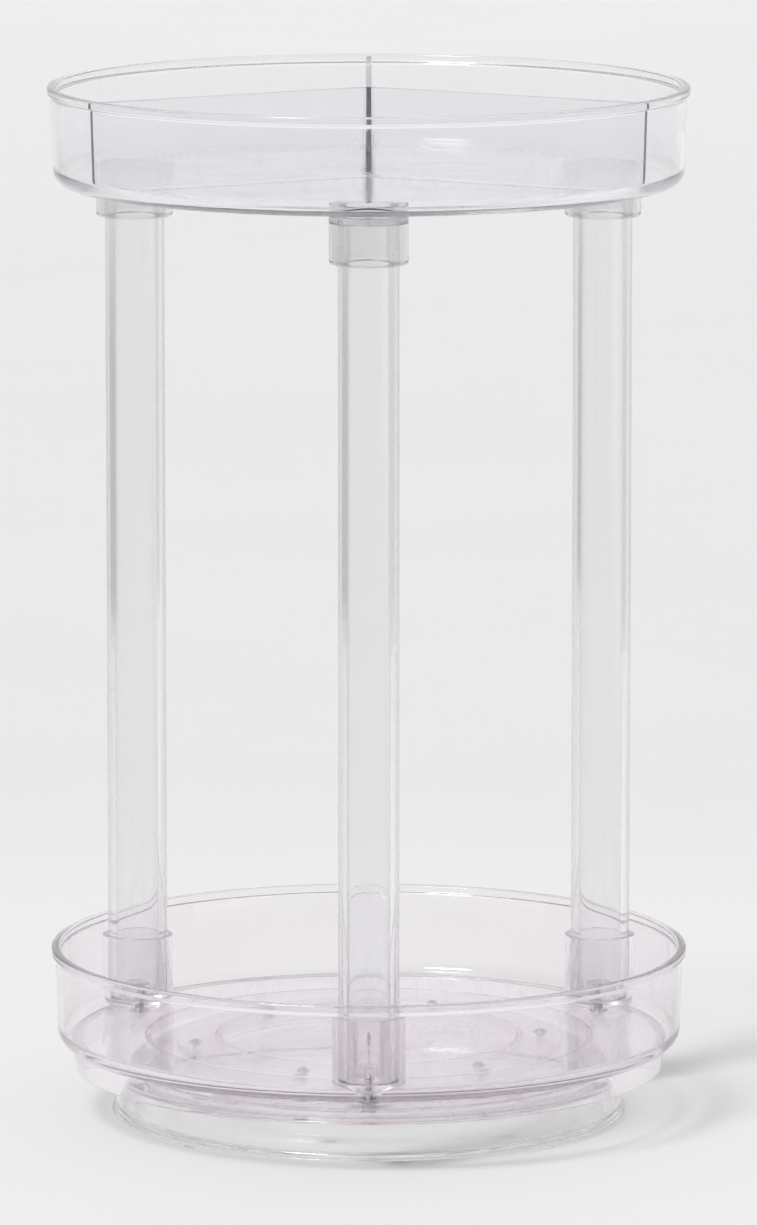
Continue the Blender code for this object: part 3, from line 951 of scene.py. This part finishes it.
def buildSpindle():
    low, high = heights("spindle_pin")
    washerLow, washerHigh = heights("spindle_washer")
    headLow = washerHigh + 0.0002
    corners = [
        (0.0, high - spindle["socketDepth"], 0.0),
        (spindle["socketRadius"], high - spindle["socketDepth"], 0.0002),
        (spindle["socketRadius"] + 0.0002, high, 0.0003),
        (0.55 * spindle["head"], high, 0.0030),
        (spindle["head"], headLow + 0.0008, 0.0005),
        (spindle["head"], headLow, 0.0002),
        (spindle["shank"], headLow, 0.0002),
        (spindle["shank"], low, 0.0007),
        (0.0, low, 0.0),
    ]
    pin = turnedBody("spindlePin", corners, False, 96)
    finishPiece(pin, screwSteel, "base_group", "bright_steel", "spindle_pin")
    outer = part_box("spindle_washer")[1].x
    corners = [
        (outer, washerHigh, 0.0002),
        (outer, washerLow, 0.0002),
        (spindle["shank"] + 0.0003, washerLow, 0.0001),
        (spindle["shank"] + 0.0003, washerHigh, 0.0001),
    ]
    washer = turnedBody("spindleWasher", corners, True, 96)
    finishPiece(washer, washerNylon, "base_group", "natural_nylon", "spindle_washer")


# A hexagon nut: the radius is the apothem over the cosine of the angle from the nearest flat,
# and no more than a cone allows near its two faces.
def buildNut():
    lowCorner, highCorner = boxCorners("spindle_nut")
    low, high = lowCorner[2], highCorner[2]
    apothem = min((highCorner - lowCorner)[:2]) / 2
    phase = 0.0 if (highCorner - lowCorner)[0] < (highCorner - lowCorner)[1] else pi / 6
    angle = np.linspace(0, 2 * pi, nutShape["ringSteps"], endpoint=False)
    flat = (angle - phase + pi / 6) % (pi / 3) - pi / 6
    hexagon = apothem / np.cos(flat)
    height = np.concatenate([[high, high], high - np.array([0.0001, 0.0003, 0.0006, 0.0009])])
    height = np.concatenate([height, np.linspace(high - 0.0012, low + 0.0012, 4)])
    height = np.concatenate([height, (low + high) - height[5:1:-1], [low, low]])
    inward = np.minimum(height - low, high - height)
    cone = apothem * nutShape["chamferStart"] + inward * nutShape["chamferSlope"]
    outer = np.minimum(hexagon[None], cone[:, None])
    hole = spindle["shank"] + nutShape["clearance"]
    outer[0] = outer[-1] = hole + 0.0002
    bore = np.full((2, len(angle)), hole)
    radius = np.vstack([outer, bore])
    height = np.concatenate([height, [low + 0.0002, high - 0.0002]])
    x, y = radius * np.cos(angle), radius * np.sin(angle)
    rings = np.stack([x, y, np.broadcast_to(height[:, None], x.shape)], -1)
    nut = skinRings("spindleNut", rings, closed=True)
    nut.modifiers.new("flatNormals", "WEIGHTED_NORMAL")
    finishPiece(nut, screwSteel, "base_group", "bright_steel", "spindle_nut")


screw = {
    "shank": 0.0018,
    "core": 0.00145,
    "pitch": 0.0011,
    "head": 0.0040,
    "recess": 0.0012,
    "slot": 0.00045,
    "reach": 0.0019,
    "headHeight": 0.0024,
    "headEdge": 0.0009,
    "point": 0.0018,
}


# A screw, point up. Along the shank the radius swings between core and crest with the height
# over the pitch less the angle round over a turn, which is a helix. Under the head the skin
# dips where a point lies within the slot's half width of either axis and inside its reach.
def buildScrews():
    angle = np.linspace(0, 2 * pi, 96, endpoint=False)
    for number, centre in enumerate(postCentres, 1):
        low, high = heights(f"socket_screw_{number}")
        headTop = low + screw["headHeight"]
        shankHeight = np.linspace(high - screw["point"], headTop + 0.0004, 90)
        lift = shankHeight[:, None] / screw["pitch"] - angle[None] / (2 * pi)
        crest = np.abs((lift % 1.0) - 0.5) * 2
        thread = screw["core"] + (screw["shank"] - screw["core"]) * np.clip(crest * 2 - 0.6, 0, 1)
        tipShare = np.array([0.12, 0.45, 0.8])[:, None]
        tip = screw["core"] * tipShare * np.ones(len(angle))
        tipHeight = high - screw["point"] * tipShare[:, 0] ** 1.3
        neck = np.array([[screw["shank"] * 0.9], [screw["head"] * 0.97], [screw["head"]]])
        neck = neck * np.ones(len(angle))
        neckHeight = np.array([headTop, headTop, headTop - 0.0002])
        domeRadius = np.linspace(screw["head"] * 0.995, 0.0002, 30)[:, None]
        slope = np.sqrt(np.clip(1 - (domeRadius / screw["head"]) ** 2, 0, 1))
        edge = headTop - screw["headEdge"]
        domeHeight = edge - (edge - low) * slope
        x, y = domeRadius * np.cos(angle), domeRadius * np.sin(angle)
        across = np.minimum(np.abs(x), np.abs(y)) / screw["slot"]
        away = np.hypot(x, y) / screw["reach"]
        dip = np.clip(3.5 - 2.5 * np.maximum(across, away**3), 0, 1)
        dip = dip * dip * (3 - 2 * dip) * screw["recess"]
        radius = np.vstack([tip, thread, neck, domeRadius * np.ones(len(angle))])
        height = np.concatenate([tipHeight, shankHeight, neckHeight])
        height = np.vstack([height[:, None] * np.ones(len(angle)), domeHeight + dip])
        x = centre[0] + radius * np.cos(angle)
        y = centre[1] + radius * np.sin(angle)
        poles = np.array([[*centre, high], [*centre, low + screw["recess"]]])
        body = skinRings(f"socketScrew_{number}", np.stack([x, y, height], -1), poles=poles)
        finishPiece(body, screwSteel, "turntable", "bright_steel", f"socket_screw_{number}")


buildSpindle()
buildNut()
buildScrews()
print("spindle and screws built")


# ---- floor, light and camera

studio = {
    "floorRadius": 14.0,
    "floorLevel": -0.0001,
    "tone": 0.825,
    "spread": 0.30,
    # Painted light and shade: the across and along factors brighten and darken the floor's tone by
    # place.
    "across": [(-1.2, 0.95), (-0.33, 1.0), (0.15, 1.0), (0.36, 1.10), (1.4, 1.0)],
    "along": [(-1.8, 0.90), (-0.60, 1.0), (0.2, 1.015), (0.7, 0.955), (2.2, 0.955), (4.5, 0.99)],
    "overhead": 0.42,
    "behind": 0.92,
    "front": 0.55,
    "sides": 0.45,
    "windowTone": 0.8,
    "windowInner": 9.0,
    "windowOuter": 24.0,
    "keyStrength": 1.8,
    "keyAngle": 14.0,
    "keyAzimuth": 225.0,
    "keyHeight": 60.0,
}


# A flat round floor: rings whose radius grows with the square of the row, a hair under z = 0.
def buildFloor():
    angle = np.linspace(0, 2 * pi, 96, endpoint=False)
    radius = studio["floorRadius"] * np.linspace(1, 0.02, 30)[:, None] ** 2
    x, y = radius * np.cos(angle), radius * np.sin(angle)
    rings = np.stack([x, y, np.full_like(x, studio["floorLevel"])], -1)
    points = np.vstack([rings.reshape(-1, 3), [[0, 0, studio["floorLevel"]]]])
    index = np.arange(30 * 96).reshape(30, 96)
    quads = np.stack(
        [index[:-1], np.roll(index[:-1], -1, 1), np.roll(index[1:], -1, 1), index[1:]], -1
    )
    last = index[-1]
    fan = np.stack([last, np.roll(last, -1), np.full(96, 30 * 96)], -1)
    mesh = bpy.data.meshes.new("studioFloor")
    mesh.from_pydata(points.tolist(), [], quads.reshape(-1, 4).tolist() + fan.tolist())
    floor = addPiece("studioFloor", mesh)
    floor.data.materials.append(paintedLightFloor())


# A factor that follows x through the places given: between two neighbours it moves in a
# smooth step, and past the first and last it stays. The steps are added up.
def placeSteps(tree, value, places):
    total = None
    for (start, low), (end, high) in zip(places, places[1:]):
        change = (0.0, high - low) if total else (low, high)
        step = rangeNode(tree, value, (start, end), change)
        total = mathNode(tree, "ADD", total, step) if total else step
    return total


# The sweep's tone is one factor for how far left or right a place lies, as seen from the
# front, times one for how far behind, and a faint unevenness. The first two are painted light
# and shade: brighter to the right and round the object, darker far in front, a little darker
# behind and far to the left.
def paintedLightFloor():
    material, tree, shader, plain = newMaterial("paperSweepPaintedLight")
    parts = tree.nodes.new("ShaderNodeSeparateXYZ")
    tree.links.new(plain, parts.inputs[0])
    behind = mathNode(tree, "MAXIMUM", parts.outputs["Y"], 0.0)
    wider = mathNode(tree, "MULTIPLY_ADD", behind, studio["spread"])
    wider.node.inputs[2].default_value = 1.0
    aside = mathNode(tree, "DIVIDE", parts.outputs["X"], wider)
    # Painted light and shade: these two factors vary the floor's tone by place.
    across = placeSteps(tree, aside, studio["across"])
    along = placeSteps(tree, parts.outputs["Y"], studio["along"])
    grain = addNode(tree, "ShaderNodeTexNoise", {"Scale": 3.0, "Detail": 3.0})
    tree.links.new(plain, grain.inputs["Vector"])
    tones = (studio["tone"] * 0.985, studio["tone"] * 1.015)
    wander = rangeNode(tree, grain.outputs["Fac"], (0.0, 1.0), tones, "LINEAR")
    tone = mathNode(tree, "MULTIPLY", mathNode(tree, "MULTIPLY", across, along), wander)
    tree.links.new(tone, shader.inputs["Base Color"])
    shader.inputs["Roughness"].default_value = 0.9
    shader.inputs["Specular IOR Level"].default_value = 0.1
    return material


cards = {
    "radius": 1.1,
    "height": 0.26,
    "rise": 0.03,
    "fall": 0.12,
    "fade": 4.0,
    "paper": 0.80,
    "places": {"glowingShadeCardLeft": (115.0, 166.0, 0.54), "glowingShadeCardRight": (18.0, 54.0, 0.70)},
}


# Glowing grey sheets that the clear edges mirror, kept out of the picture itself and out of
# the floor's light and shadow: painted reflections of a darker room. Each is part of a
# ring's wall, its radius fixed while the angle and the height run over a grid. Its glow
# drops from the paper's tone by one less a power of the place across, and that fades in from
# the foot and out towards the top in two smooth steps.
def buildCards():
    for name, (start, end, dark) in cards["places"].items():
        across = np.linspace(-1, 1, 33)[None] * np.ones((27, 1))
        height = np.linspace(0.0, cards["height"], 27)[:, None] * np.ones((1, 33))
        angle = np.radians((start + end) / 2 + across * (end - start) / 2)
        x, y = cards["radius"] * np.cos(angle), cards["radius"] * np.sin(angle)
        index = np.arange(x.size).reshape(x.shape)
        corners = [index[:-1, :-1], index[1:, :-1], index[1:, 1:], index[:-1, 1:]]
        mesh = bpy.data.meshes.new(name)
        points = np.stack([x, y, height], -1).reshape(-1, 3)
        mesh.from_pydata(points.tolist(), [], np.stack(corners, -1).reshape(-1, 4).tolist())
        tone = mesh.attributes.new("tone", "FLOAT", "POINT")
        foot = np.clip(height / cards["rise"], 0, 1)
        top = np.clip((cards["height"] - height) / cards["fall"], 0, 1)
        depth = (1 - np.abs(across) ** cards["fade"]) * foot**2 * (3 - 2 * foot)
        depth = depth * top**2 * (3 - 2 * top)
        shade = cards["paper"] + (dark - cards["paper"]) * depth
        tone.data.foreach_set("value", shade.ravel().astype(np.float32))
        material, tree, shader = newMaterial(name + "PaintedGlow")[:3]
        reading = addNode(tree, "ShaderNodeAttribute", attribute_name="tone")
        shader.inputs["Base Color"].default_value = (0.0, 0.0, 0.0, 1.0)
        shader.inputs["Specular IOR Level"].default_value = 0.0
        # Painted reflection: the sheet glows at its tone rather than taking light.
        tree.links.new(reading.outputs["Fac"], shader.inputs["Emission Color"])
        shader.inputs["Emission Strength"].default_value = 1.0
        card = addPiece(name, mesh)
        card.data.materials.append(material)
        card.visible_camera = card.visible_diffuse = card.visible_shadow = False


# The room: brightest behind the object, darker in front and at both sides, and an even tone
# overhead. A smooth step along y leads from the front's tone to the back's, one along the
# size of x leads on to the sides', and one in height to the overhead tone. A soft window
# glows round the key light's direction, by the cosine of the angle from it.
def buildRoom():
    world = bpy.data.worlds.new("studioRoom")
    bpy.context.scene.world = world
    world.use_nodes = True
    tree = world.node_tree
    background = tree.nodes["Background"]
    coordinates = tree.nodes.new("ShaderNodeTexCoord")
    parts = tree.nodes.new("ShaderNodeSeparateXYZ")
    tree.links.new(coordinates.outputs["Generated"], parts.inputs[0])
    tones = (studio["front"], studio["behind"])
    back = rangeNode(tree, parts.outputs["Y"], (-0.3, 0.3), tones)
    aside = rangeNode(tree, mathNode(tree, "ABSOLUTE", parts.outputs["X"]), (0.35, 0.95))
    level = mixNode(tree, aside, back, studio["sides"], "FLOAT")
    rise = rangeNode(tree, parts.outputs["Z"], (0.3, 0.85))
    room = mixNode(tree, rise, level, studio["overhead"], "FLOAT")
    glow = addNode(tree, "ShaderNodeVectorMath", operation="DOT_PRODUCT")
    glow.inputs[1].default_value = keyDirection()
    tree.links.new(coordinates.outputs["Generated"], glow.inputs[0])
    rim = (cos(radians(studio["windowOuter"])), cos(radians(studio["windowInner"])))
    window = rangeNode(tree, glow.outputs["Value"], rim, (0.0, studio["windowTone"]))
    total = mathNode(tree, "ADD", room, window)
    tree.links.new(total, background.inputs["Color"])


# From the object towards the key light, by compass angle and height.
def keyDirection():
    azimuth, height = radians(studio["keyAzimuth"]), radians(studio["keyHeight"])
    return cos(azimuth) * cos(height), sin(azimuth) * cos(height), sin(height)


def buildLights():
    azimuth, height = radians(studio["keyAzimuth"]), radians(studio["keyHeight"])
    lamp = bpy.data.lights.new("keyLight", "SUN")
    lamp.energy = studio["keyStrength"]
    lamp.angle = radians(studio["keyAngle"])
    key = bpy.data.objects.new("keyLight", lamp)
    key.location = (2 * cos(azimuth), 2 * sin(azimuth), 3.0)
    key.rotation_euler = (pi / 2 - height, 0, azimuth + pi / 2)
    bpy.context.scene.collection.objects.link(key)


view = {"distance": 3.25687, "height": 0.70854, "pitch": 9.1, "lens": 263.17, "shift": 0.00795}


def buildCamera():
    lens = bpy.data.cameras.new("camera")
    lens.lens = view["lens"]
    lens.sensor_width = 36.0
    lens.shift_x = view["shift"]
    lens.clip_start, lens.clip_end = 0.05, 60.0
    camera = bpy.data.objects.new("camera", lens)
    camera.location = (0.0, -view["distance"], view["height"])
    camera.rotation_euler = (radians(90 - view["pitch"]), 0.0, 0.0)
    bpy.context.scene.collection.objects.link(camera)
    bpy.context.scene.camera = camera


def setLightPaths():
    cycles = bpy.context.scene.cycles
    cycles.max_bounces = 80
    cycles.transmission_bounces = 60
    cycles.glossy_bounces = 60  # turned back inside a clear wall
    cycles.transparent_max_bounces = 40
    cycles.caustics_reflective = False
    cycles.caustics_refractive = False
    bpy.context.scene.view_settings.view_transform = "Standard"


buildFloor()
buildCards()
buildRoom()
buildLights()
buildCamera()
setLightPaths()
print("studio built")
